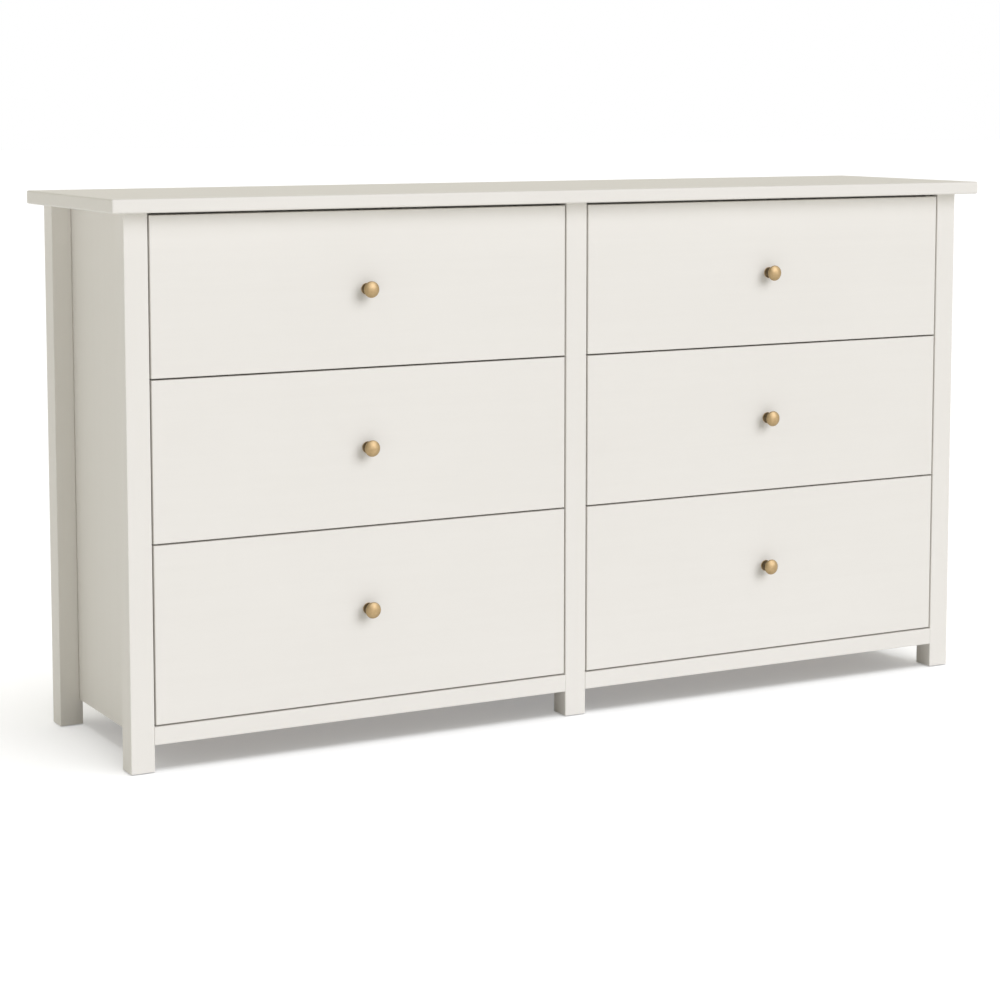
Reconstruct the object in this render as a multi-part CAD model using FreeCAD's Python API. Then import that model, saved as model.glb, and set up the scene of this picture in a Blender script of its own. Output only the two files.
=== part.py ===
"""Wide dresser: a slab top on six square legs, with two banks of three flush drawers.

Millimetres, +Z up. X runs along the width, -Y is the front with the knobs, and the origin
is on the floor below the middle of the top panel. Each function builds one kind of piece,
and the last section gives every piece its node and writes it.
"""
import FreeCAD, Part
import math
import os

V = FreeCAD.Vector

# Whole dresser
height = 820.0
top_thickness = 20.0
top_side_overhang = 26.0
top_front_overhang = 28.0
top_back_overhang = 2.0
top_edge_radius = 3.0
frame_width = 1458.0          # outside to outside of the corner legs
frame_depth = 348.0           # front of the front legs to back of the rear legs
leg_width = 36.0
leg_edge_radius = 1.5
glide_height = 1.6

# Case
panel_recess = 31.0           # leg's outer face to side panel's outer face
panel_thickness = 15.0
panel_bottom = 40.0
rebate_length = 16.0          # how far a side panel runs into each corner leg's rebate
crease_radius = 1.5           # groove down each leg where it meets a side panel
partition_thickness = 18.0
partition_tongue = 6.0
packer_thickness = 19.0
packer_height = 60.0
rail_bottom = 40.0
rail_thickness = 18.0
rail_edge_radius = 1.2
rear_rail_thickness = 16.0
rear_rail_height = 60.0
tenon_length = 10.0
tenon_shoulder = 4.0
stretcher_width = 60.0
stretcher_thickness = 20.0
back_thickness = 3.0

# Drawers, from the bottom row up
row_names = ["bottom", "middle", "top"]
front_heights = [258.5, 233.0, 230.0]
box_heights = [170.0, 145.0, 145.0]
gap = 2.5                     # round each drawer front
bottom_front_z = 69.0
front_thickness = 18.0
front_edge_radius = 1.2
box_lift = 14.0               # drawer front's lower edge to drawer box's lower edge
box_length = 295.0
wall = 12.0
groove_depth = 6.0
bottom_thickness = 3.2
bottom_lift = 10.0

# Full-extension ball-bearing slides: three nested steel channels
slide_length = 300.0
slide_thickness = 12.7
slide_rise = 62.0             # drawer box's lower edge to the middle of its slide
slide_gauge = 1.2
cabinet_channel = {"height": 45.0, "start": 0.0, "end": 9.0}
middle_channel = {"height": 36.4, "start": 2.6, "end": 10.6}
drawer_channel = {"height": 27.8, "start": 5.2, "end": slide_thickness}

# Turned knob: radius and distance out from the drawer front
knob_foot = (8.75, 1.8)
knob_waist = (5.6, 8.0)
knob_underside = (11.2, 14.8)
knob_rim = (12.2, 16.0)
knob_edge = (12.0, 18.0)
knob_projection = 21.5
knob_lifts = [7.0, 0.0, 0.0]  # above the middle of its drawer front, from the bottom row up
knob_bore_depth = 12.0

# Fasteners: head radius, shank radius, length
wood_screw = (4.0, 1.9, 30.0)
panel_screw = (3.8, 1.8, 28.0)
face_screw = (4.0, 1.9, 24.0)
knob_bolt = (4.5, 2.0, 40.0)
head_height = 2.4
screw_inset = 45.0
panel_screw_heights = [150.0, 340.0, 560.0, 740.0]
glide_radius = 12.0
glide_stem = (2.5, 15.0)      # radius and length

# Planes worked out from the sizes above
top_underside = height - top_thickness
top_half_width = frame_width / 2 + top_side_overhang
top_depth = top_front_overhang + frame_depth + top_back_overhang
front_y = top_front_overhang - top_depth / 2
rear_y = front_y + frame_depth
leg_outer_x = frame_width / 2
leg_inner_x = leg_outer_x - leg_width
centre_x = leg_width / 2
panel_outer_x = leg_outer_x - panel_recess
panel_inner_x = panel_outer_x - panel_thickness
packer_x = partition_thickness / 2 + packer_thickness
panel_front_y = front_y + leg_width - rebate_length
panel_rear_y = rear_y - leg_width + rebate_length
rail_top = bottom_front_z - gap
box_back_y = front_y + front_thickness
front_low_x = centre_x + gap
front_high_x = leg_inner_x - gap
bank_centre_x = (front_low_x + front_high_x) / 2
box_low_x = packer_x + slide_thickness
box_high_x = panel_inner_x - slide_thickness
banks = {"left": -1, "right": 1}


def row_z(row):
    """Lower edge of a row's drawer front."""
    return bottom_front_z + sum(front_heights[:row]) + row * gap


def slide_z(row):
    """Height of the middle of a row's slides."""
    return row_z(row) + box_lift + slide_rise


def block(xs, ys, zs):
    """A box from three pairs of limits, each pair in either order."""
    low = V(min(xs), min(ys), min(zs))
    high = V(max(xs), max(ys), max(zs))
    return Part.makeBox(high.x - low.x, high.y - low.y, high.z - low.z, low)


def mirrored(xs, side):
    """A pair of X limits on the right half, moved to the chosen half."""
    return [side * x for x in xs]


def edges_along(shape, direction):
    """The straight edges of a box that run along one direction."""
    found = []
    for edge in shape.Edges:
        run = edge.Vertexes[1].Point.sub(edge.Vertexes[0].Point).normalize()
        if abs(abs(run.dot(direction)) - 1) < 1e-6:
            found.append(edge)
    return found


def front_edges(shape):
    """The edges of a box that bound its front face."""
    low_y = shape.BoundBox.YMin
    return [edge for edge in shape.Edges if edge.BoundBox.YMax < low_y + 1e-6]


def turned(outline, place, direction):
    """A solid of revolution: outline edges in the XZ plane, Z pointing along direction."""
    wire = Part.Wire(outline)
    solid = Part.Face(wire).revolve(V(0, 0, 0), V(0, 0, 1), 360)
    if solid.Volume < 0:
        solid.reverse()
    solid.Placement = FreeCAD.Placement(place, FreeCAD.Rotation(V(0, 0, 1), direction))
    return Part.Solid(solid.Shells[0]) if solid.ShapeType != "Solid" else solid


def lines(points):
    """Straight edges through (radius, distance) points, closed back to the first."""
    corners = [V(radius, 0, distance) for radius, distance in points]
    return [Part.makeLine(a, b) for a, b in zip(corners, corners[1:] + corners[:1])]


def pan_screw(size, place, direction):
    """A screw whose pan head sits proud of the surface that it pulls against."""
    head, shank, length = size
    tip = shank * 0.6
    points = [(0, -head_height), (head * 0.8, -head_height), (head, -head_height * 0.4),
              (head, 0), (shank, 0), (shank, length - 2 * shank), (tip, length), (0, length)]
    return turned(lines(points), place, direction)


def countersunk_screw(size, place, direction):
    """A screw whose flat head lies level with the surface."""
    head, shank, length = size
    tip = shank * 0.5
    points = [(0, 0), (head, 0), (shank, head - shank), (shank, length - 3 * shank),
              (tip, length), (0, length)]
    return turned(lines(points), place, direction)


def make_top():
    slab = block([-top_half_width, top_half_width], [-top_depth / 2, top_depth / 2],
                 [top_underside, height])
    return slab.makeFillet(top_edge_radius, slab.Edges)


def make_leg(low_x, low_y):
    """A square leg with softened long edges, standing on its glide."""
    leg = block([low_x, low_x + leg_width], [low_y, low_y + leg_width],
                [glide_height, top_underside])
    return leg.makeFillet(leg_edge_radius, edges_along(leg, V(0, 0, 1)))


def make_side_panel(side):
    return block(mirrored([panel_inner_x, panel_outer_x], side),
                 [panel_front_y, panel_rear_y], [panel_bottom, top_underside])


def make_creases():
    """Round grooves that leave a shadow line between each side panel and its legs."""
    length = top_underside - panel_bottom
    return [Part.makeCylinder(crease_radius, length, V(side * panel_outer_x, y, panel_bottom))
            for side in banks.values() for y in [front_y + leg_width, rear_y - leg_width]]


def make_partition():
    """The middle panel, tongued into both centre legs."""
    half = partition_thickness / 2
    return block([-half, half],
                 [front_y + leg_width - partition_tongue, rear_y - leg_width + partition_tongue],
                 [panel_bottom, top_underside])


def make_packers():
    """Boards on both faces of the partition that bring the slides clear of the legs."""
    packers = []
    for side in banks.values():
        for row in range(len(row_names)):
            middle = slide_z(row)
            packers.append(block(mirrored([partition_thickness / 2, packer_x], side),
                                 [front_y + leg_width, rear_y - leg_width],
                                 [middle - packer_height / 2, middle + packer_height / 2]))
    return packers


def tenoned_rail(side, ys, zs):
    """A rail between a centre leg and a corner leg, with a stub tenon at each end."""
    body = block(mirrored([centre_x, leg_inner_x], side), ys, zs)
    body = body.makeFillet(rail_edge_radius, edges_along(body, V(1, 0, 0)))
    tenon = block(mirrored([centre_x - tenon_length, leg_inner_x + tenon_length], side),
                  [ys[0] + tenon_shoulder, ys[1] - tenon_shoulder],
                  [zs[0] + tenon_shoulder, zs[1] - tenon_shoulder])
    return body.fuse(tenon).removeSplitter()


def make_front_rails():
    return [tenoned_rail(side, [front_y, front_y + rail_thickness], [rail_bottom, rail_top])
            for side in banks.values()]


def make_rear_rails():
    rails = []
    for side in banks.values():
        for low in [panel_bottom, top_underside - rear_rail_height]:
            rails.append(tenoned_rail(side, [panel_rear_y, panel_rear_y + rear_rail_thickness],
                                      [low, low + rear_rail_height]))
    return rails


def stretcher_rows():
    """The Y limits of the front and rear top stretchers."""
    front = front_y + leg_width
    rear = rear_y - leg_width
    return [[front, front + stretcher_width], [rear - stretcher_width, rear]]


def make_stretchers():
    """Flat boards below the top, which the top panel is screwed to."""
    boards = []
    for side in banks.values():
        for ys in stretcher_rows():
            boards.append(block(mirrored([partition_thickness / 2, panel_inner_x], side), ys,
                                [top_underside - stretcher_thickness, top_underside]))
    return boards


def make_backs():
    """Thin back panels on the rear faces of the rear rails."""
    near = panel_rear_y + rear_rail_thickness
    return [block(mirrored([centre_x, leg_inner_x], side), [near, near + back_thickness],
                  [panel_bottom, top_underside]) for side in banks.values()]


def make_carcass_screws():
    """Screws up into the top panel, and screws out through the side panels into the legs."""
    screws = []
    top_low = top_underside - stretcher_thickness
    for side in banks.values():
        for ys in stretcher_rows():
            reach = bank_centre_x - packer_x - screw_inset
            for step in [-1, 0, 1]:
                place = V(side * (bank_centre_x + step * reach), sum(ys) / 2, top_low)
                screws.append(pan_screw(wood_screw, place, V(0, 0, 1)))
        for y in [panel_front_y + rebate_length / 2, panel_rear_y - rebate_length / 2]:
            for z in panel_screw_heights:
                place = V(side * panel_inner_x, y, z)
                screws.append(countersunk_screw(panel_screw, place, V(side, 0, 0)))
    return screws


def make_glide(leg):
    """A nail-on plastic glide with its stem up inside the leg."""
    middle = leg.BoundBox.Center
    stem_radius, stem_length = glide_stem
    soft = 0.5
    points = [(0, 0), (glide_radius - soft, 0), (glide_radius, soft),
              (glide_radius, glide_height), (stem_radius, glide_height),
              (stem_radius, glide_height + stem_length), (0, glide_height + stem_length)]
    return turned(lines(points), V(middle.x, middle.y, 0), V(0, 0, 1))


def channel(profile, mount_x, inward, front, middle_z, opens_inward):
    """One steel channel of a slide, from its mounting face at mount_x towards the drawer."""
    start, end = profile["start"], profile["end"]
    half = profile["height"] / 2
    web = [start, start + slide_gauge] if opens_inward else [end - slide_gauge, end]
    ys = [front, front + slide_length]
    pieces = [block([mount_x + inward * x for x in web], ys, [middle_z - half, middle_z + half])]
    for low in [-half, half - slide_gauge]:
        pieces.append(block([mount_x + inward * start, mount_x + inward * end], ys,
                            [middle_z + low, middle_z + low + slide_gauge]))
    return pieces[0].fuse(pieces[1:]).removeSplitter()


def slide_pair(profile, side, row, opens_inward):
    """The same channel of the two slides of one drawer."""
    front = panel_front_y
    return [channel(profile, side * packer_x, side, front, slide_z(row), opens_inward),
            channel(profile, side * panel_inner_x, -side, front, slide_z(row), opens_inward)]


def make_front(side, row):
    low = row_z(row)
    face = block(mirrored([front_low_x, front_high_x], side), [front_y, box_back_y],
                 [low, low + front_heights[row]])
    return face.makeFillet(front_edge_radius, front_edges(face))


def make_bottom(side, row):
    """The drawer bottom, which runs in grooves in all four walls."""
    low = row_z(row) + box_lift + bottom_lift
    inset = wall - groove_depth
    return block(mirrored([box_low_x + inset, box_high_x - inset], side),
                 [box_back_y + inset, box_back_y + box_length - inset],
                 [low, low + bottom_thickness])


def make_walls(side, row):
    """Two sides with the front and back walls of the drawer box between them."""
    low = row_z(row) + box_lift
    zs = [low, low + box_heights[row]]
    ys = [box_back_y, box_back_y + box_length]
    inner = mirrored([box_low_x + wall, box_high_x - wall], side)
    return [block(mirrored([box_low_x, box_low_x + wall], side), ys, zs),
            block(mirrored([box_high_x - wall, box_high_x], side), ys, zs),
            block(inner, [ys[0], ys[0] + wall], zs),
            block(inner, [ys[1] - wall, ys[1]], zs)]


def knob_place(side, row):
    """Where the middle of a knob's foot meets its drawer front."""
    return V(side * bank_centre_x, front_y, row_z(row) + front_heights[row] / 2 + knob_lifts[row])


def bolt_depth():
    """Drawer box's inner front face to the drawer front's outer face."""
    return front_thickness + wall


def make_knob_bolt(side, row):
    place = knob_place(side, row) + V(0, bolt_depth(), 0)
    return pan_screw(knob_bolt, place, V(0, -1, 0))


def make_knob(side, row):
    """A turned mushroom knob with a waisted neck, a narrow rim and a low dome."""
    def point(pair):
        return V(pair[0], 0, pair[1])
    tip = V(0, 0, knob_projection)
    dome_rise = knob_projection - knob_edge[1]
    dome_radius = (knob_edge[0] ** 2 + dome_rise ** 2) / (2 * dome_rise)
    half_way = math.asin(knob_edge[0] / dome_radius) / 2
    dome_side = V(dome_radius * math.sin(half_way), 0,
                  knob_projection - dome_radius * (1 - math.cos(half_way)))
    foot_bottom = V(knob_foot[0], 0, 0)
    neck_low = V(knob_waist[0] + 0.9, 0, (knob_foot[1] + knob_waist[1]) / 2)
    neck_high = V(knob_waist[0] + 1.6, 0, (knob_waist[1] + knob_underside[1]) / 2)
    outline = [Part.makeLine(V(0, 0, 0), foot_bottom),
               Part.makeLine(foot_bottom, point(knob_foot)),
               Part.Arc(point(knob_foot), neck_low, point(knob_waist)).toShape(),
               Part.Arc(point(knob_waist), neck_high, point(knob_underside)).toShape(),
               Part.makeLine(point(knob_underside), point(knob_rim)),
               Part.makeLine(point(knob_rim), point(knob_edge)),
               Part.Arc(point(knob_edge), dome_side, tip).toShape(),
               Part.makeLine(tip, V(0, 0, 0))]
    knob = turned(outline, knob_place(side, row), V(0, -1, 0))
    bore = Part.makeCylinder(knob_bolt[1], knob_bore_depth, knob_place(side, row), V(0, -1, 0))
    return knob.cut(bore)


def make_face_screws(side, row):
    """Four screws from inside the drawer box into the back of its front."""
    low = row_z(row) + box_lift
    screws = []
    for x in [box_low_x + screw_inset, box_high_x - screw_inset]:
        for z in [low + screw_inset, low + box_heights[row] - screw_inset / 2]:
            place = V(side * x, box_back_y + wall, z)
            screws.append(pan_screw(face_screw, place, V(0, -1, 0)))
    return screws


def cut_all(piece, tools):
    """The piece with every tool that reaches it cut away."""
    near = [tool for tool in tools if tool.BoundBox.intersect(piece.BoundBox)]
    return piece.cut(near) if near else piece


def write(node, solids):
    """Write one node; several solids become a group."""
    for solid in solids:
        if not solid.isValid() or solid.Volume <= 0:
            raise ValueError(node + " has a faulty solid")
    shape = solids[0] if len(solids) == 1 else Part.makeCompound(solids)
    shape.exportStep("parts/" + node + ".step")
    print(f"{node:34s} solids {len(shape.Solids):3d}  volume {shape.Volume / 1000:9.1f} cm3")


def build_case():
    """Every piece of the fixed case."""
    left_x, right_x = -leg_outer_x, leg_inner_x
    rear_low_y = rear_y - leg_width
    legs = {"front_left_leg": make_leg(left_x, front_y),
            "front_right_leg": make_leg(right_x, front_y),
            "front_centre_leg": make_leg(-centre_x, front_y),
            "rear_left_leg": make_leg(left_x, rear_low_y),
            "rear_right_leg": make_leg(right_x, rear_low_y),
            "rear_centre_leg": make_leg(-centre_x, rear_low_y)}
    panels = {name + "_side_panel": make_side_panel(side) for name, side in banks.items()}
    partition = make_partition()
    front_rails = make_front_rails()
    rear_rails = make_rear_rails()
    screws = make_carcass_screws()
    glides = [make_glide(leg) for leg in legs.values()]
    housed = list(panels.values()) + [partition] + front_rails + rear_rails + screws + glides
    housed += make_creases()

    write("top_panel", [cut_all(make_top(), screws)])
    for name, leg in legs.items():
        write(name, [cut_all(leg, housed)])
    for name, panel in panels.items():
        write(name, [cut_all(panel, screws)])
    write("centre_partition", [partition])
    write("slide_packers", make_packers())
    write("front_bottom_rails", front_rails)
    write("rear_rails", rear_rails)
    write("top_stretchers", [cut_all(board, screws) for board in make_stretchers()])
    write("back_panels", make_backs())
    write("carcass_screws", screws)
    write("leg_glides", glides)
    members = []
    for side in banks.values():
        for row in range(len(row_names)):
            members += slide_pair(cabinet_channel, side, row, True)
    write("cabinet_slide_members", members)


def build_drawer(bank, row):
    """Every piece that belongs to one drawer."""
    side = banks[bank]
    name = "drawer_" + bank + "_" + row_names[row] + "_"
    bolt = make_knob_bolt(side, row)
    fixings = [bolt] + make_face_screws(side, row)
    bottom = make_bottom(side, row)
    write(name + "front", [cut_all(make_front(side, row), fixings)])
    write(name + "box_walls", [cut_all(board, fixings + [bottom]) for board in make_walls(side, row)])
    write(name + "bottom", [bottom])
    write(name + "knob", [make_knob(side, row)])
    write(name + "fixings", fixings)
    write(name + "slide_members", slide_pair(drawer_channel, side, row, False))
    write(name + "middle_members", slide_pair(middle_channel, side, row, True))


os.makedirs("parts", exist_ok=True)
build_case()
for bank_name in banks:
    for row_number in range(len(row_names)):
        build_drawer(bank_name, row_number)
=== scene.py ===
"""A wide painted dresser with round brass knobs, on a pale studio floor.

The case and drawer fronts are the frame's own boards under a satin paint. The knobs, slides,
drawer boxes, screws and nails are made here in full detail, each on the body that it moves with.
"""
import math

import bmesh
import bpy
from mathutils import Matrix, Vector


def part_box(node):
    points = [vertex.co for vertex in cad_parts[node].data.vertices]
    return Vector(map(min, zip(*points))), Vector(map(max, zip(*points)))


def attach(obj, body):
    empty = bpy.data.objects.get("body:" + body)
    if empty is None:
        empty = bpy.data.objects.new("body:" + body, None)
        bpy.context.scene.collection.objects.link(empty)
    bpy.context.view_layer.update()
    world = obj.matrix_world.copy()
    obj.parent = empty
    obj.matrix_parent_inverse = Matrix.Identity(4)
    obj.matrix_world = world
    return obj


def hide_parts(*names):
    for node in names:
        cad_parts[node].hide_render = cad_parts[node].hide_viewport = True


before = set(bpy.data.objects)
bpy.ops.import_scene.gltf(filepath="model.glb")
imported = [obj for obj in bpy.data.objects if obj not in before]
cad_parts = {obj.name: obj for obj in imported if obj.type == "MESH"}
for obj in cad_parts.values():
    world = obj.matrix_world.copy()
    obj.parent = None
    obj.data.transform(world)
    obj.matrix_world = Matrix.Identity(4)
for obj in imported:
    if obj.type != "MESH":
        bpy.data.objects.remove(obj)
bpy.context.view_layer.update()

MM = 0.001
BANKS = {"left": -1, "right": 1}        # each bank of drawers, and its side of the middle along X
ROWS = ["bottom", "middle", "top"]
DRAWERS = [(bank, row) for bank in BANKS for row in ROWS]
AXES = {"X": 0, "Y": 1, "Z": 2}


# ---------------------------------------------------------------- colours

WHITE = (1.0, 1.0, 1.0)
BLACK = (0.0, 0.0, 0.0)
PAINT = {"light": (0.838, 0.815, 0.767), "dark": (0.822, 0.798, 0.749)}
HARDBOARD = {"light": (0.79, 0.765, 0.70), "dark": (0.72, 0.69, 0.62)}
PINE = {"light": (0.73, 0.555, 0.345), "dark": (0.58, 0.405, 0.225)}
PINE_END = {"light": (0.60, 0.42, 0.24), "dark": (0.43, 0.28, 0.14)}
PLYWOOD = {"light": (0.69, 0.53, 0.345), "dark": (0.585, 0.425, 0.255)}
PORE_SHADE = 0.62                       # a pore's colour as a share of the wood's dark one
BRASS = {"light": (0.67, 0.495, 0.275), "dark": (0.53, 0.375, 0.190)}
# Painted shade: the darker brass colour painted round each knob's rim, where its dome turns away
# from the light
RIM_PAINTED_SHADE = (0.30, 0.225, 0.115)
# Painted shade: the dark brass colour painted over each knob's waisted neck and foot, where it
# lies in shade
NECK_PAINTED_SHADE = (0.115, 0.083, 0.045)
SLIDE_ZINC = {"light": (0.72, 0.73, 0.75), "dark": (0.58, 0.59, 0.62)}
BALL_STEEL = {"light": (0.80, 0.80, 0.81), "dark": (0.70, 0.70, 0.72)}
SCREW_ZINC = {"light": (0.74, 0.73, 0.70), "dark": (0.56, 0.55, 0.52)}
GLIDE_PLASTIC = {"light": (0.055, 0.052, 0.048), "dark": (0.030, 0.028, 0.026)}


# ---------------------------------------------------------------- sizes, in metres

# How far along a knob's outline, from the middle of its foot, its brass is darkened with painted
# shade on the neck and rim
NECK_LOW = 11.0 * MM
NECK_HIGH = 26.2 * MM
NECK_FADE = 1.5 * MM
RIM_LOW = 30.0 * MM
RIM_HIGH = 37.0 * MM
KNOB_SIDES = 72

WALL = 12 * MM                          # a drawer box's boards
BOARD_SOFTNESS = 0.8 * MM
SOFT_STEPS = 3
FLAT = 0.999                            # how squarely a board's flat face points along an axis
MAP_SHIFT = (3, 7)                      # moves the grain on from one face of a board to another
ON_AXIS = 1e-9                          # a turned outline's radius that counts as none

SLIDE_THICKNESS = 12.7 * MM
GAUGE = 1.2 * MM
DRAWER_WEB = 11.5 * MM                  # the drawer member's inside, from the mounting face

# The top half of each folded member as (from the mounting face, above the middle), in mm
CABINET_PATH = [(8.9, 20.4), (8.2, 21.4), (6.6, 21.9), (2.4, 21.9), (1.1, 21.2), (0.6, 19.8)]
MIDDLE_PATH = [(10.4, 17.0), (9.6, 17.6), (8.8, 16.9), (6.6, 16.6), (5.4, 17.6), (4.4, 17.6),
               (3.2, 16.4)]
DRAWER_PATH = [(5.4, 12.9), (6.2, 13.3), (7.6, 12.5), (9.4, 12.5), (10.6, 13.3), (11.6, 13.0),
               (12.1, 12.0)]

# Where each race of balls runs: from the mounting face, and above and below the middle
OUTER_RACE = (6.4 * MM, 19.75 * MM)
INNER_RACE = (8.2 * MM, 15.4 * MM)
RACE_INSET = 8 * MM
BALL_RADIUS = 1.5 * MM
BALL_STEP = 6.2 * MM
BALLS_IN_RACE = 20

SCREW_PLACES = [0.12, 0.5, 0.88]        # along a slide, as shares of its length
SCREW_SIDES = 24
SCREW_ROLL = 1.5                        # the widest turn of a screw's cross, in radians
RECESS_ARM = 0.5                        # the cross recess, as shares of the head's radius
RECESS_HUB = 0.2
RECESS_ANGLE = 0.1                      # half of an arm's width, in radians
RECESS_TOP = 0.9                        # as shares of the head's rise
RECESS_DEPTH = 0.62
SCREW_INSET = 45 * MM                   # a front's screws, from the edges of the box
SEED = 7

NAIL_SIDES = 12
NAIL_EDGE = 9 * MM
NAIL_SPACING = 95 * MM
NAIL_INSET = 30 * MM


# ---------------------------------------------------------------- light and camera settings

FLOOR_REACH = 40.0                      # half of the floor's width
FLOOR_COLOUR = (0.76, 0.766, 0.787, 1)
FLOOR_GLOW = 0.285
SKY_STRENGTH = 0.685
SKY_LEAN = (0.0, 0.31, -0.28)           # how the sky brightens towards each axis
SKY_COLOUR = (1.0, 0.975, 0.87)
KEY_STRENGTH = 1.66
KEY_SPREAD = math.radians(44)
KEY_COLOUR = (1.0, 1.005, 1.07)
KEY_DIRECTION = Vector((0.15, -0.28, 0.175)).normalized()
OVERHEAD_STRENGTH = 1.95
OVERHEAD_SPREAD = math.radians(38)
OVERHEAD_DIRECTION = Vector((0.05, -0.30, 1.0)).normalized()
LAMP_DISTANCE = 4.0
CAMERA_PLACE = (-1.9055, -3.4294, 0.9594)
CAMERA_PAN = 0.4968                     # radians from +Y towards +X
CAMERA_TILT = -0.1018
CAMERA_LENS = 89.06
CAMERA_SHIFT = -0.15
CAMERA_CLIP = 200.0


# ---------------------------------------------------------------- writing nodes

class Wire:
    """One socket. Arithmetic on it adds Math nodes to the tree that it belongs to."""

    def __init__(self, nodes, socket):
        self.nodes = nodes
        self.socket = socket

    def _math(self, operation, first, second):
        return self.nodes.node("ShaderNodeMath", {"operation": operation}, {0: first, 1: second})

    def __add__(self, other):
        return self._math("ADD", self, other)

    def __sub__(self, other):
        return self._math("SUBTRACT", self, other)

    def __mul__(self, other):
        return self._math("MULTIPLY", self, other)

    __radd__ = __add__
    __rmul__ = __mul__


class Nodes:
    """A node tree that is written from top to bottom."""

    def __init__(self, tree):
        self.tree = tree

    def node(self, kind, settings=None, values=None, output=0):
        """Add a node, set its settings first and then its sockets, and return one output."""
        made = self.tree.nodes.new(kind)
        for name, setting in (settings or {}).items():
            setattr(made, name, setting)
        for name, value in (values or {}).items():
            self.fill(made.inputs[name], value)
        return Wire(self, made.outputs[output])

    def fill(self, socket, value):
        """Link a wire to a socket, or set the socket's own value."""
        if isinstance(value, Wire):
            self.tree.links.new(value.socket, socket)
        else:
            socket.default_value = value

    def blend(self, mask, first, second):
        """Mix two colours by a mask from 0 to 1."""
        colours = [value if isinstance(value, Wire) else (*value, 1) for value in (first, second)]
        return self.node("ShaderNodeMix", {"data_type": "RGBA"},
                         {0: mask, 6: colours[0], 7: colours[1]}, output=2)


class Finish(Nodes):
    """A material made of nodes round one Principled shader."""

    def __init__(self, name):
        self.material = bpy.data.materials.new(name)
        self.material.use_nodes = True
        super().__init__(self.material.node_tree)
        self.shader = self.tree.nodes["Principled BSDF"]

    def set(self, socket, value):
        self.fill(self.shader.inputs[socket], value)

    def where(self, stretch=(1, 1, 1)):
        """The place on the piece, in metres, squeezed along chosen axes."""
        place = self.node("ShaderNodeTexCoord", output="Object")
        return self.node("ShaderNodeMapping", None, {"Vector": place, "Scale": stretch})

    def along_map(self, stretch=(1, 1, 1)):
        """The place on the piece's own map: along a board's grain or a turned outline."""
        place = self.node("ShaderNodeTexCoord", output="UV")
        return self.node("ShaderNodeMapping", None, {"Vector": place, "Scale": stretch})

    def noise(self, place, per_metre, detail=2.0, rough=0.5):
        return self.node("ShaderNodeTexNoise", None,
                         {"Vector": place, "Scale": per_metre, "Detail": detail,
                          "Roughness": rough})

    def spread(self, value, low, high):
        """Stretch the part of a value between low and high over 0 to 1."""
        return self.node("ShaderNodeMapRange", {"clamp": True},
                         {"Value": value, "From Min": low, "From Max": high})

    def shade(self, mask, colours):
        """Wander between the dark and the light colour of a pair."""
        return self.blend(mask, colours["dark"], colours["light"])

    def relief(self, height, depth, strength=1.0):
        """Raise the surface by height, in shares of a depth in metres."""
        bump = self.node("ShaderNodeBump", None,
                         {"Height": height, "Distance": depth, "Strength": strength})
        self.set("Normal", bump)


def squeeze(axis, amount):
    """A stretch that draws a pattern out along one axis."""
    scale = [1.0, 1.0, 1.0]
    scale[AXES[axis]] = amount
    return scale


# ---------------------------------------------------------------- finishes

def satin_paint(name, along):
    """Satin paint laid off along one axis, over wood whose grain barely shows."""
    finish = Finish(name)
    cloud = finish.noise(finish.where(), per_metre=3.0, detail=3.0)
    strokes = finish.noise(finish.where(squeeze(along, 0.045)), per_metre=420.0, detail=3.0,
                           rough=0.6)
    grain = finish.noise(finish.where(squeeze(along, 0.03)), per_metre=90.0, detail=4.0,
                         rough=0.55)
    peel = finish.noise(finish.where(), per_metre=950.0, detail=1.0)
    tone = cloud * 0.5 + grain * 0.3 + strokes * 0.2
    finish.set("Base Color", finish.shade(finish.spread(tone, 0.36, 0.62), PAINT))
    finish.set("Roughness", 0.39 + cloud * 0.06 + peel * 0.10)
    finish.set("Specular IOR Level", 0.36)
    finish.relief(strokes * 0.4 + grain * 0.15 + peel * 0.25, depth=0.12 * MM, strength=0.5)
    return finish.material


def bare_wood(name, along, colours, mapped=False):
    """Pale bare wood: broad growth bands, fine fibres and short darker pores."""
    finish = Finish(name)

    def drawn(amount):
        if mapped:
            return finish.along_map((amount, 1, 1))
        return finish.where(squeeze(along, amount))

    sway = finish.noise(drawn(0.25), per_metre=7.0, detail=2.0)
    bands = finish.noise(drawn(0.05), per_metre=46.0, detail=5.0, rough=0.62)
    fibre = finish.noise(drawn(0.02), per_metre=900.0, detail=3.0, rough=0.7)
    pores = finish.spread(finish.noise(drawn(0.04), per_metre=1300.0, detail=1.0), 0.62, 0.72)
    tone = finish.spread(bands * 0.7 + sway * 0.3, 0.36, 0.64)
    wood = finish.shade(tone * 0.75 + fibre * 0.25, colours)
    pore = tuple(value * PORE_SHADE for value in colours["dark"])
    finish.set("Base Color", finish.blend(pores * 0.35, wood, pore))
    finish.set("Roughness", 0.50 + fibre * 0.16)
    finish.relief(bands * 0.3 + fibre * 0.5 - pores * 0.4, depth=0.2 * MM, strength=0.6)
    return finish.material


def end_grain(name, colours):
    """The sawn end of a board: closer, rougher and darker than its faces."""
    finish = Finish(name)
    rings = finish.noise(finish.along_map((0.35, 1, 1)), per_metre=260.0, detail=4.0, rough=0.7)
    specks = finish.noise(finish.along_map(), per_metre=1700.0, detail=2.0)
    tone = finish.spread(rings * 0.7 + specks * 0.3, 0.34, 0.66)
    finish.set("Base Color", finish.shade(tone, colours))
    finish.set("Roughness", 0.66 + specks * 0.14)
    finish.relief(specks, depth=0.25 * MM, strength=0.5)
    return finish.material


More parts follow.
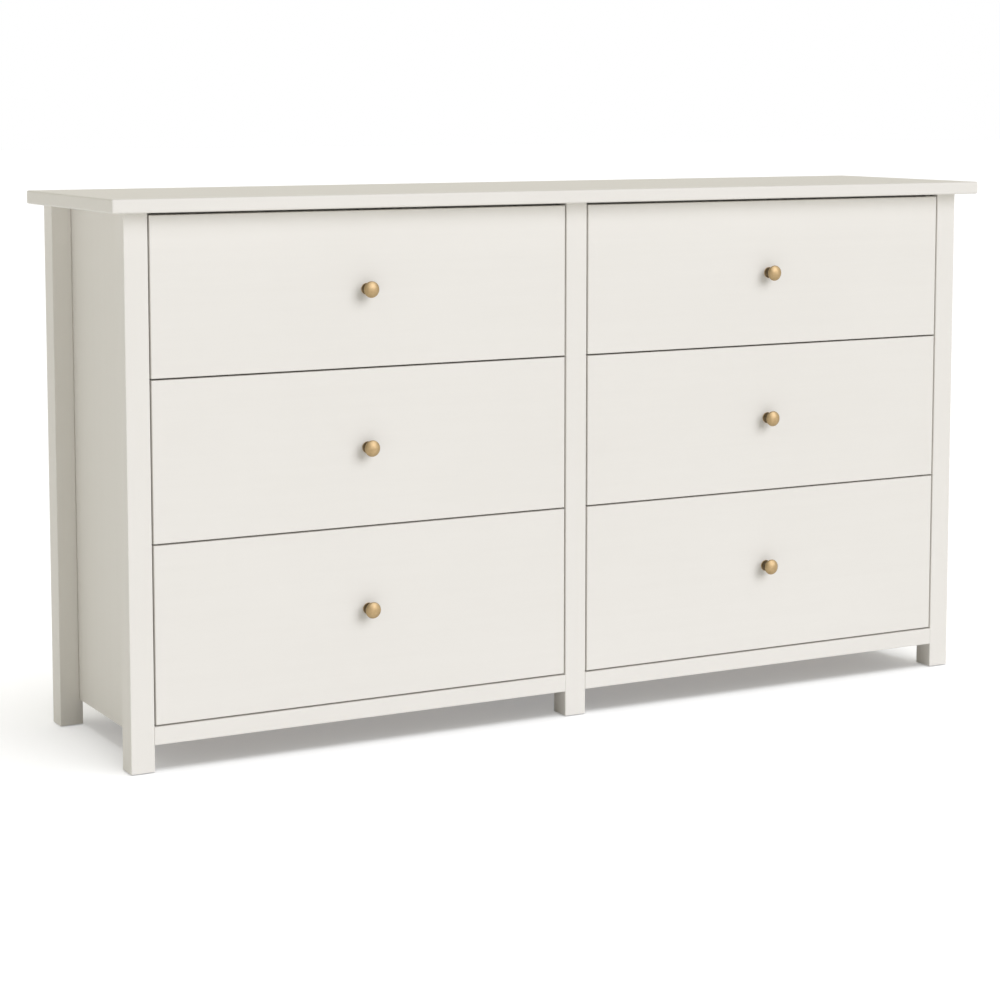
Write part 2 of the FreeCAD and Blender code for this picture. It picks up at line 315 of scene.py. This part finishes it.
def hardboard():
    """Painted hardboard: a pebbled face with faint rolled streaks."""
    finish = Finish("back_hardboard")
    pebble = finish.noise(finish.where(), per_metre=620.0, detail=3.0, rough=0.6)
    cloud = finish.noise(finish.where(), per_metre=5.0, detail=3.0)
    streak = finish.noise(finish.where(squeeze("Z", 0.05)), per_metre=120.0, detail=3.0)
    tone = finish.spread(cloud * 0.5 + streak * 0.3 + pebble * 0.2, 0.36, 0.64)
    finish.set("Base Color", finish.shade(tone, HARDBOARD))
    finish.set("Roughness", 0.55 + pebble * 0.15)
    finish.relief(pebble, depth=0.3 * MM, strength=0.6)
    return finish.material


def satin_brass():
    """Lacquered brass: fine turning rings, patches of age, painted shade dulling the rim and
    painted shade darkening the neck.
    """
    finish = Finish("knob_satin_brass")
    rings = finish.noise(finish.along_map((0.0, 1, 1)), per_metre=5200.0, detail=2.0, rough=0.7)
    patch = finish.noise(finish.where(), per_metre=160.0, detail=3.0, rough=0.6)
    lit = finish.shade(finish.spread(patch, 0.30, 0.70), BRASS)
    outward = finish.node("ShaderNodeSeparateXYZ", None, {"Vector": finish.along_map()}, "Y")
    neck_begins = finish.spread(outward, NECK_LOW - NECK_FADE, NECK_LOW)
    neck_ends = finish.spread(outward, NECK_HIGH, NECK_HIGH + NECK_FADE)
    # painted shade over the knob's neck, varied a little by the patches
    neck_shade_mask = (neck_begins - neck_ends) * (0.72 + patch * 0.4)
    # painted shade over the rim of the knob's dome
    rim_shade_mask = (neck_ends - finish.spread(outward, RIM_LOW, RIM_HIGH)) * 0.45
    brass_with_shaded_rim = finish.blend(rim_shade_mask, lit, RIM_PAINTED_SHADE)
    finish.set("Base Color", finish.blend(neck_shade_mask, brass_with_shaded_rim, NECK_PAINTED_SHADE))
    finish.set("Metallic", 1.0)
    finish.set("Roughness", 0.46 + patch * 0.12 + rings * 0.06)
    finish.set("Coat Weight", 0.25)
    finish.set("Coat Roughness", 0.30)
    finish.relief(rings, depth=0.02 * MM, strength=0.35)
    return finish.material


def plated_steel(name, colours, roughness):
    """Bright plate: lines drawn along the steel and a faint spangle."""
    finish = Finish(name)
    drawn = finish.noise(finish.where(squeeze("Y", 0.02)), per_metre=1500.0, detail=3.0, rough=0.7)
    spangle = finish.noise(finish.where(), per_metre=210.0, detail=3.0)
    tone = finish.spread(drawn * 0.5 + spangle * 0.5, 0.34, 0.66)
    finish.set("Base Color", finish.shade(tone, colours))
    finish.set("Metallic", 1.0)
    finish.set("Roughness", roughness + spangle * 0.12 + drawn * 0.06)
    finish.relief(drawn, depth=0.04 * MM, strength=0.4)
    return finish.material


def glide_plastic():
    """Moulded dark plastic with a fine grain and rubbed patches."""
    finish = Finish("glide_plastic")
    grit = finish.noise(finish.where(), per_metre=2600.0, detail=2.0)
    rub = finish.noise(finish.where(), per_metre=240.0, detail=3.0)
    finish.set("Base Color", finish.shade(rub, GLIDE_PLASTIC))
    finish.set("Roughness", 0.46 + grit * 0.20)
    finish.relief(grit, depth=0.05 * MM, strength=0.5)
    return finish.material


paint_along = {axis: satin_paint("satin_paint_along_" + axis.lower(), axis) for axis in AXES}
box_pine = bare_wood("box_pine", "X", PINE, mapped=True)
box_end_grain = end_grain("box_end_grain", PINE_END)
bottom_ply = bare_wood("bottom_plywood", "X", PLYWOOD)
packer_wood = bare_wood("packer_wood", "Y", PINE)
back_board = hardboard()
brass = satin_brass()
slide_zinc = plated_steel("slide_zinc", SLIDE_ZINC, roughness=0.24)
ball_steel = plated_steel("ball_steel", BALL_STEEL, roughness=0.12)
screw_zinc = plated_steel("screw_zinc", SCREW_ZINC, roughness=0.28)
dark_plastic = glide_plastic()


# ---------------------------------------------------------------- the frame's own boards

def dress(node, material):
    """Give a frame node its finish."""
    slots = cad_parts[node].data.materials
    slots.clear()
    slots.append(material)


def dress_case():
    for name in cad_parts:
        if name.endswith("_leg") or name.endswith("_side_panel") or name == "centre_partition":
            dress(name, paint_along["Z"])
        elif name.endswith("_front") or name in ("top_panel", "front_bottom_rails", "rear_rails"):
            dress(name, paint_along["X"])
        elif name.startswith("drawer_") and name.endswith("_bottom"):
            dress(name, bottom_ply)
    dress("top_stretchers", paint_along["X"])
    dress("slide_packers", packer_wood)
    dress("back_panels", back_board)
    dress("leg_glides", dark_plastic)
    dress("carcass_screws", screw_zinc)


# ---------------------------------------------------------------- making meshes

def finished(name, mesh, materials, body, replaced=None):
    """Put a mesh in the scene as one piece that rides on a body."""
    for material in materials:
        mesh.materials.append(material)
    piece = bpy.data.objects.new(name, mesh)
    bpy.context.scene.collection.objects.link(piece)
    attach(piece, body)
    if replaced:
        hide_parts(replaced)


def mesh_from(shape, name):
    """Turn a bmesh into a mesh with its faces pointing outwards."""
    bmesh.ops.recalc_face_normals(shape, faces=shape.faces)
    mesh = bpy.data.meshes.new(name)
    shape.to_mesh(mesh)
    shape.free()
    return mesh


def add_board(shape, low, high, grain, softness):
    """Add a board with softened edges, mapped along its grain, its sawn ends on slot 1."""
    low, high = Vector(low), Vector(high)
    made = bmesh.ops.create_cube(shape, size=1.0)["verts"]
    for vert in made:
        vert.co = Vector(near + (far - near) * (share + 0.5)
                         for near, far, share in zip(low, high, vert.co))
    edges = {edge for vert in made for edge in vert.link_edges}
    soft = bmesh.ops.bevel(shape, geom=list(edges), offset=softness, segments=SOFT_STEPS,
                           profile=0.5, affect="EDGES")
    faces = set(soft["faces"]) | {face for vert in soft["verts"] for face in vert.link_faces}
    layer = shape.loops.layers.uv.verify()
    run = AXES[grain]
    for face in faces:
        face.normal_update()
        side = max(range(3), key=lambda axis: abs(face.normal[axis]))
        across = [axis for axis in range(3) if axis not in (run, side)]
        face.smooth = abs(face.normal[side]) < FLAT
        face.material_index = 1 if side == run else 0
        for loop in face.loops:
            place = loop.vert.co
            if side == run:
                loop[layer].uv = (place[across[0]], place[across[1]])
            else:
                loop[layer].uv = (place[run] + low[side] * MAP_SHIFT[0],
                                  place[across[0]] + low[side] * MAP_SHIFT[1])


def arc(start, middle, end, steps):
    """Points on the circle through three (radius, distance) points, without the first."""
    (ax, ay), (bx, by), (cx, cy) = start, middle, end
    d = 2 * (ax * (by - cy) + bx * (cy - ay) + cx * (ay - by))
    squares = [x * x + y * y for x, y in (start, middle, end)]
    ux = (squares[0] * (by - cy) + squares[1] * (cy - ay) + squares[2] * (ay - by)) / d
    uy = (squares[0] * (cx - bx) + squares[1] * (ax - cx) + squares[2] * (bx - ax)) / d
    angles = [math.atan2(y - uy, x - ux) for x, y in (start, middle, end)]
    turn = (angles[2] - angles[0]) % (2 * math.pi)
    if (angles[1] - angles[0]) % (2 * math.pi) > turn:
        turn -= 2 * math.pi
    radius = math.hypot(ax - ux, ay - uy)
    return [(ux + radius * math.cos(angles[0] + turn * step / steps),
             uy + radius * math.sin(angles[0] + turn * step / steps))
            for step in range(1, steps + 1)]


def add_turning(shape, outline, centre, axis, sides):
    """Add a lathe-turned solid: outline is (radius, distance along axis), ending on the axis."""
    axis = Vector(axis)
    across = axis.orthogonal().normalized()
    upright = axis.cross(across)
    layer = shape.loops.layers.uv.verify()
    rings, run = [], 0.0
    travelled = [0.0]
    for before, after in zip(outline, outline[1:]):
        run += math.dist(before, after)
        travelled.append(run)
    spokes = [2 * math.pi * side / sides for side in range(sides)]
    for radius, distance in outline:
        middle = Vector(centre) + axis * distance
        if radius < ON_AXIS:
            rings.append([shape.verts.new(middle)])
            continue
        rings.append([shape.verts.new(middle + across * radius * math.cos(spoke)
                                      + upright * radius * math.sin(spoke)) for spoke in spokes])
    for step in range(len(rings) - 1):
        for side in range(sides):
            corners = []
            for ring, back in ((step, 0), (step, 1), (step + 1, 1), (step + 1, 0)):
                verts = rings[ring]
                vert = verts[0] if len(verts) == 1 else verts[(side + back) % sides]
                if vert not in [corner[0] for corner in corners]:
                    corners.append((vert, ((side + back) / sides, travelled[ring])))
            face = shape.faces.new([corner[0] for corner in corners])
            face.smooth = True
            for loop, corner in zip(face.loops, corners):
                loop[layer].uv = corner[1]


# ---------------------------------------------------------------- knobs

def knob_outline():
    """(radius, distance) in metres: a small foot, a waisted neck, a rounded rim, a low dome."""
    foot, waist, under, crown = (8.75, 1.6), (5.6, 8.0), (10.9, 14.7), (0, 21.45)
    rim_low, rim_mid, rim_high = (11.7, 15.4), (12.2, 16.7), (11.7, 18.1)
    collar = (8.35, 2.0)
    points = [(0, 0), (8.4, 0), (8.75, 0.35), foot, collar]
    points += arc(collar, (6.35, 4.6), waist, 10)
    points += arc(waist, (7.1, 12.2), under, 12)
    points += arc(under, (11.35, 14.95), rim_low, 3)
    points += arc(rim_low, rim_mid, rim_high, 8)
    points += arc(rim_high, (6.2, 20.55), crown, 16)[:-1] + [crown]
    return [(radius * MM, distance * MM) for radius, distance in points]


def make_knob(bank, row):
    node = f"drawer_{bank}_{row}_knob"
    low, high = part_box(node)
    foot = Vector(((low.x + high.x) / 2, high.y, (low.z + high.z) / 2))
    shape = bmesh.new()
    add_turning(shape, knob_outline(), foot, (0, -1, 0), KNOB_SIDES)
    finished(f"knob_{bank}_{row}", mesh_from(shape, "knob"), [brass],
             f"drawer_{bank}_{row}", node)


# ---------------------------------------------------------------- drawer boxes

def make_drawer_box(bank, row):
    """Four pine boards, the front and back ones held between the two sides."""
    node = f"drawer_{bank}_{row}_box_walls"
    low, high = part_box(node)
    shape = bmesh.new()
    for x in (low.x, high.x - WALL):
        add_board(shape, (x, low.y, low.z), (x + WALL, high.y, high.z), "Y", BOARD_SOFTNESS)
    for y in (low.y, high.y - WALL):
        add_board(shape, (low.x + WALL, y, low.z), (high.x - WALL, y + WALL, high.z), "X",
                  BOARD_SOFTNESS)
    finished(f"drawer_box_{bank}_{row}", mesh_from(shape, "drawer_box"),
             [box_pine, box_end_grain], f"drawer_{bank}_{row}", node)


# ---------------------------------------------------------------- slides

def folded_section(half_path):
    """The outline of a strip of steel folded along a path that is the same above and below."""
    path = [Vector(point) * MM for point in half_path]
    path += [Vector((point.x, -point.y)) for point in reversed(path)]
    left, right = [], []
    for index, point in enumerate(path):
        before = path[max(index - 1, 0)]
        after = path[min(index + 1, len(path) - 1)]
        run = (after - before).normalized()
        across = Vector((-run.y, run.x)) * GAUGE / 2
        left.append(point + across)
        right.append(point - across)
    return left + right[::-1]


def add_channel(shape, half_path, mount_x, inward, ys, middle_z):
    """Add one folded channel of a slide along Y."""
    ends = []
    for y in ys:
        ends.append([shape.verts.new((mount_x + inward * point.x, y, middle_z + point.y))
                     for point in folded_section(half_path)])
    count = len(ends[0])
    strip = count // 2
    for index in range(count):
        after = (index + 1) % count
        shape.faces.new((ends[0][index], ends[0][after], ends[1][after], ends[1][index]))
    for end in ends:
        for index in range(strip - 1):
            across = count - 1 - index
            shape.faces.new((end[index], end[index + 1], end[across - 1], end[across]))


def slide_mounts(bank, row):
    """The two mounting faces of a drawer's slides as (x, direction towards the drawer)."""
    low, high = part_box(f"drawer_{bank}_{row}_box_walls")
    return [(low.x - SLIDE_THICKNESS, 1), (high.x + SLIDE_THICKNESS, -1)]


def slide_run(bank, row):
    """Y limits and middle height of a drawer's slides."""
    low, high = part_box(f"drawer_{bank}_{row}_slide_members")
    return (low.y, high.y), (low.z + high.z) / 2


def make_cabinet_slides():
    shape = bmesh.new()
    for bank, row in DRAWERS:
        ys, middle = slide_run(bank, row)
        for mount_x, inward in slide_mounts(bank, row):
            add_channel(shape, CABINET_PATH, mount_x, inward, ys, middle)
    finished("cabinet_slides", mesh_from(shape, "cabinet_slides"), [slide_zinc], "case",
             "cabinet_slide_members")


def make_drawer_slides(bank, row):
    ys, middle = slide_run(bank, row)
    for name, path, body, node in (
            ("drawer_slides", DRAWER_PATH, f"drawer_{bank}_{row}", "slide_members"),
            ("middle_slides", MIDDLE_PATH, f"slide_middles_{bank}_{row}", "middle_members")):
        shape = bmesh.new()
        for mount_x, inward in slide_mounts(bank, row):
            add_channel(shape, path, mount_x, inward, ys, middle)
        finished(f"{name}_{bank}_{row}", mesh_from(shape, name), [slide_zinc], body,
                 f"drawer_{bank}_{row}_{node}")


# ---------------------------------------------------------------- what repeats

class Tree(Nodes):
    """A Geometry Nodes tree with named inputs."""

    def __init__(self, name, inputs):
        super().__init__(bpy.data.node_groups.new(name, "GeometryNodeTree"))
        self.face = self.tree.interface
        self.face.new_socket("Geometry", in_out="INPUT", socket_type="NodeSocketGeometry")
        for label, kind in inputs:
            self.face.new_socket(label, in_out="INPUT", socket_type="NodeSocket" + kind)
        self.face.new_socket("Geometry", in_out="OUTPUT", socket_type="NodeSocketGeometry")
        self.start = self.tree.nodes.new("NodeGroupInput")

    def given(self, label):
        """The value of one of the tree's own inputs."""
        return Wire(self, self.start.outputs[label])

    def end(self, geometry):
        final = self.tree.nodes.new("NodeGroupOutput")
        self.fill(final.inputs[0], geometry)

    def identifier(self, label):
        for item in self.face.items_tree:
            if item.in_out == "INPUT" and item.name == label:
                return item.identifier
        raise KeyError(label)


def repeat_tree():
    """Set one pattern piece at every point, turned to face one way, with a varied roll."""
    tree = Tree("repeated_piece", [("Pattern", "Object"), ("Facing", "Rotation"),
                                   ("Roll", "Float"), ("Seed", "Int"), ("Finish", "Material")])
    points = tree.node("GeometryNodeMeshToPoints", None, {"Mesh": tree.given("Geometry")})
    pattern = tree.node("GeometryNodeObjectInfo", None, {"Object": tree.given("Pattern")},
                        "Geometry")
    placed = tree.node("GeometryNodeInstanceOnPoints", None,
                       {"Points": points, "Instance": pattern, "Rotation": tree.given("Facing")})
    roll = tree.node("FunctionNodeRandomValue", {"data_type": "FLOAT"},
                     {"Min": 0.0, "Max": tree.given("Roll"), "Seed": tree.given("Seed")}, 1)
    about = tree.node("ShaderNodeCombineXYZ", None, {"Z": roll})
    rolled = tree.node("GeometryNodeRotateInstances", None,
                       {"Instances": placed, "Rotation": about})
    solid = tree.node("GeometryNodeRealizeInstances", None, {"Geometry": rolled})
    tree.end(tree.node("GeometryNodeSetMaterial", None,
                       {"Geometry": solid, "Material": tree.given("Finish")}))
    return tree


def repeated(name, points, pattern, facing, material, body, replaced=None, roll=0.0):
    """One mesh of a pattern piece repeated at points, its own Z turned along facing."""
    base = bpy.data.meshes.new(name + "_points")
    base.from_pydata([tuple(point) for point in points], [], [])
    holder = bpy.data.objects.new(name + "_points", base)
    bpy.context.scene.collection.objects.link(holder)
    maker = holder.modifiers.new("repeat", "NODES")
    maker.node_group = repeats.tree
    turn = Vector(facing).to_track_quat("Z", "Y").to_euler()
    for label, value in (("Pattern", pattern), ("Facing", turn), ("Roll", roll), ("Seed", SEED),
                         ("Finish", material)):
        maker[repeats.identifier(label)] = value
    bpy.context.view_layer.update()
    graph = bpy.context.evaluated_depsgraph_get()
    mesh = bpy.data.meshes.new_from_object(holder.evaluated_get(graph))
    mesh.name = name
    mesh.materials.clear()
    bpy.data.objects.remove(holder)
    finished(name, mesh, [material], body, replaced)


def pattern_object(name, shape):
    """A pattern piece that the tree copies; it stays out of the scene itself."""
    return bpy.data.objects.new(name, mesh_from(shape, name))


def add_small_turning(shape, outline, sides):
    """Add a solid turned about Z from an outline of (radius, height) in millimetres."""
    add_turning(shape, [(radius * MM, height * MM) for radius, height in outline],
                (0, 0, 0), (0, 0, 1), sides)


def ball_pattern():
    shape = bmesh.new()
    bmesh.ops.create_icosphere(shape, subdivisions=2, radius=BALL_RADIUS)
    for face in shape.faces:
        face.smooth = True
    return pattern_object("slide_ball", shape)


def screw_pattern(head, rise, shank, length):
    """A pan-head screw, in mm, its head proud of Z = 0 and its shank below."""
    shape = bmesh.new()
    outline = [(0, rise), (head * 0.16, rise * 0.99), (head * 0.46, rise * 0.97),
               (head * 0.56, rise * 0.93), (head * 0.82, rise * 0.72), (head * 0.97, rise * 0.36),
               (head, 0), (shank, 0), (shank, -length * 0.8), (0, -length)]
    add_small_turning(shape, outline, SCREW_SIDES)
    for vert in shape.verts:
        reach = math.hypot(vert.co.x, vert.co.y) / (head * MM)
        quarter = math.atan2(vert.co.y, vert.co.x) % (math.pi / 2)
        on_arm = min(quarter, math.pi / 2 - quarter) < RECESS_ANGLE or reach < RECESS_HUB
        if vert.co.z > rise * RECESS_TOP * MM and reach < RECESS_ARM and on_arm:
            vert.co.z -= rise * RECESS_DEPTH * MM
    return pattern_object("cross_screw", shape)


def nail_pattern():
    shape = bmesh.new()
    outline = [(0, 0.75), (1.6, 0.7), (2.3, 0.45), (2.5, 0.1), (2.5, 0), (0.8, 0), (0.8, -9),
               (0, -10)]
    add_small_turning(shape, outline, NAIL_SIDES)
    return pattern_object("back_nail", shape)


def make_slide_screws(bank, row):
    """Small screws through the slides into the case and into the drawer box."""
    ys, middle = slide_run(bank, row)
    spots = [ys[0] + share * (ys[1] - ys[0]) for share in SCREW_PLACES]
    for mount_x, inward in slide_mounts(bank, row):
        side = "inner" if inward == BANKS[bank] else "outer"
        label = f"{bank}_{row}_{side}"
        fixed = [(mount_x + inward * GAUGE, y, middle) for y in spots]
        repeated(f"case_slide_screws_{label}", fixed, slide_screw, (inward, 0, 0), screw_zinc,
                 "case", roll=SCREW_ROLL)
        riding = [(mount_x + inward * DRAWER_WEB, y, middle) for y in spots]
        repeated(f"box_slide_screws_{label}", riding, slide_screw, (-inward, 0, 0), screw_zinc,
                 f"drawer_{bank}_{row}", roll=SCREW_ROLL)


def make_slide_balls(bank, row):
    """Bearing balls: the outer races at the middle member's back end, the inner at its front."""
    ys, middle = slide_run(bank, row)
    points = []
    for mount_x, inward in slide_mounts(bank, row):
        for (offset, half), start, way in ((OUTER_RACE, ys[1] - RACE_INSET, -1),
                                           (INNER_RACE, ys[0] + RACE_INSET, 1)):
            for level in (-half, half):
                points += [(mount_x + inward * offset, start + way * step * BALL_STEP,
                            middle + level) for step in range(BALLS_IN_RACE)]
    repeated(f"slide_balls_{bank}_{row}", points, slide_ball, (0, 0, 1), ball_steel,
             f"slide_middles_{bank}_{row}")


def make_front_fixings(bank, row):
    """The knob's bolt and the four screws that hold the drawer front to its box."""
    box_low, box_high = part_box(f"drawer_{bank}_{row}_box_walls")
    knob_low, knob_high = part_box(f"drawer_{bank}_{row}_knob")
    face_y = box_low.y + WALL
    knob = (knob_low + knob_high) / 2
    points = [(knob.x, face_y, knob.z)]
    for x in (box_low.x + SCREW_INSET, box_high.x - SCREW_INSET):
        for z in (box_low.z + SCREW_INSET, box_high.z - SCREW_INSET / 2):
            points.append((x, face_y, z))
    repeated(f"front_screws_{bank}_{row}", points, front_screw, (0, 1, 0), screw_zinc,
             f"drawer_{bank}_{row}", f"drawer_{bank}_{row}_fixings",
             roll=SCREW_ROLL)


def make_back_nails():
    """Nails along the top and bottom edges of both back panels."""
    low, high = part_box("back_panels")
    centre_low, centre_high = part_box("rear_centre_leg")
    points = []
    for x_low, x_high in ((low.x, centre_low.x), (centre_high.x, high.x)):
        run = x_high - x_low - 2 * NAIL_EDGE
        gaps = round(run / NAIL_SPACING)
        for step in range(gaps + 1):
            x = x_low + NAIL_EDGE + run * step / gaps
            points += [(x, high.y, low.z + NAIL_INSET), (x, high.y, high.z - NAIL_INSET)]
    repeated("back_nails", points, back_nail, (0, 1, 0), screw_zinc, "case")


# ---------------------------------------------------------------- studio

def make_floor():
    """A wide pale floor that looks a little brighter than the light on it makes it."""
    shape = bmesh.new()
    bmesh.ops.create_grid(shape, x_segments=1, y_segments=1, size=FLOOR_REACH)
    floor = bpy.data.objects.new("studio_floor", mesh_from(shape, "studio_floor"))
    bpy.context.scene.collection.objects.link(floor)
    finish = Finish("studio_floor")
    seen = finish.node("ShaderNodeLightPath", output="Is Camera Ray")
    finish.set("Base Color", FLOOR_COLOUR)
    finish.set("Roughness", 1.0)
    finish.set("Specular IOR Level", 0.0)
    finish.set("Emission Color", finish.blend(seen, BLACK, WHITE))
    finish.set("Emission Strength", FLOOR_GLOW)
    floor.data.materials.append(finish.material)
    return floor


def make_sun(name, strength, spread, colour, direction):
    """A broad distant light that shines from one direction."""
    lamp = bpy.data.lights.new(name, "SUN")
    lamp.energy = strength
    lamp.angle = spread
    lamp.color = colour
    holder = bpy.data.objects.new(name, lamp)
    holder.location = direction * LAMP_DISTANCE
    holder.rotation_euler = (-direction).to_track_quat("-Z", "Y").to_euler()
    bpy.context.scene.collection.objects.link(holder)
    return holder


def share_light(sun, floor, state):
    """Let a light reach only the floor, or everything but the floor."""
    lit = bpy.data.collections.new(sun.name + "_lights")
    lit.objects.link(floor)
    sun.light_linking.receiver_collection = lit
    lit.collection_objects[0].light_linking.link_state = state


def make_lights(floor):
    """The key comes from the front and a little to the right; the floor's light is overhead."""
    key = make_sun("key", KEY_STRENGTH, KEY_SPREAD, KEY_COLOUR, KEY_DIRECTION)
    share_light(key, floor, "EXCLUDE")
    overhead = make_sun("overhead", OVERHEAD_STRENGTH, OVERHEAD_SPREAD, WHITE,
                        OVERHEAD_DIRECTION)
    share_light(overhead, floor, "INCLUDE")


def make_sky():
    """White all round to look at, and a light on the object that is strongest from low behind."""
    world = bpy.data.worlds.new("studio")
    bpy.context.scene.world = world
    world.use_nodes = True
    sky = Nodes(world.node_tree)
    seen = sky.node("ShaderNodeLightPath", output="Is Camera Ray")
    towards = sky.node("ShaderNodeTexCoord", output="Generated")
    lean = sky.node("ShaderNodeVectorMath", {"operation": "DOT_PRODUCT"},
                    {0: towards, 1: SKY_LEAN}, "Value")
    strength = sky.node("ShaderNodeMapRange", None,
                        {"Value": seen, "To Min": lean + SKY_STRENGTH, "To Max": 1.0})
    background = world.node_tree.nodes["Background"]
    sky.fill(background.inputs["Strength"], strength)
    sky.fill(background.inputs["Color"], sky.blend(seen, SKY_COLOUR, WHITE))


def make_camera():
    camera = bpy.data.cameras.new("camera")
    camera.lens = CAMERA_LENS
    camera.shift_y = CAMERA_SHIFT
    camera.clip_end = CAMERA_CLIP
    holder = bpy.data.objects.new("camera", camera)
    holder.location = CAMERA_PLACE
    ahead = Vector((math.sin(CAMERA_PAN) * math.cos(CAMERA_TILT),
                    math.cos(CAMERA_PAN) * math.cos(CAMERA_TILT), math.sin(CAMERA_TILT)))
    holder.rotation_euler = ahead.to_track_quat("-Z", "Y").to_euler()
    bpy.context.scene.collection.objects.link(holder)
    bpy.context.scene.camera = holder


# ---------------------------------------------------------------- making everything

repeats = repeat_tree()
slide_ball = ball_pattern()
slide_screw = screw_pattern(head=3.4, rise=1.2, shank=1.6, length=10)
front_screw = screw_pattern(head=4.2, rise=2.3, shank=2.0, length=28)
back_nail = nail_pattern()

dress_case()
make_cabinet_slides()
for drawer_bank, drawer_row in DRAWERS:
    make_knob(drawer_bank, drawer_row)
    make_drawer_box(drawer_bank, drawer_row)
    make_drawer_slides(drawer_bank, drawer_row)
    make_slide_balls(drawer_bank, drawer_row)
    make_slide_screws(drawer_bank, drawer_row)
    make_front_fixings(drawer_bank, drawer_row)
make_back_nails()

make_lights(make_floor())
make_sky()
make_camera()
bpy.context.scene.view_settings.view_transform = "Standard"
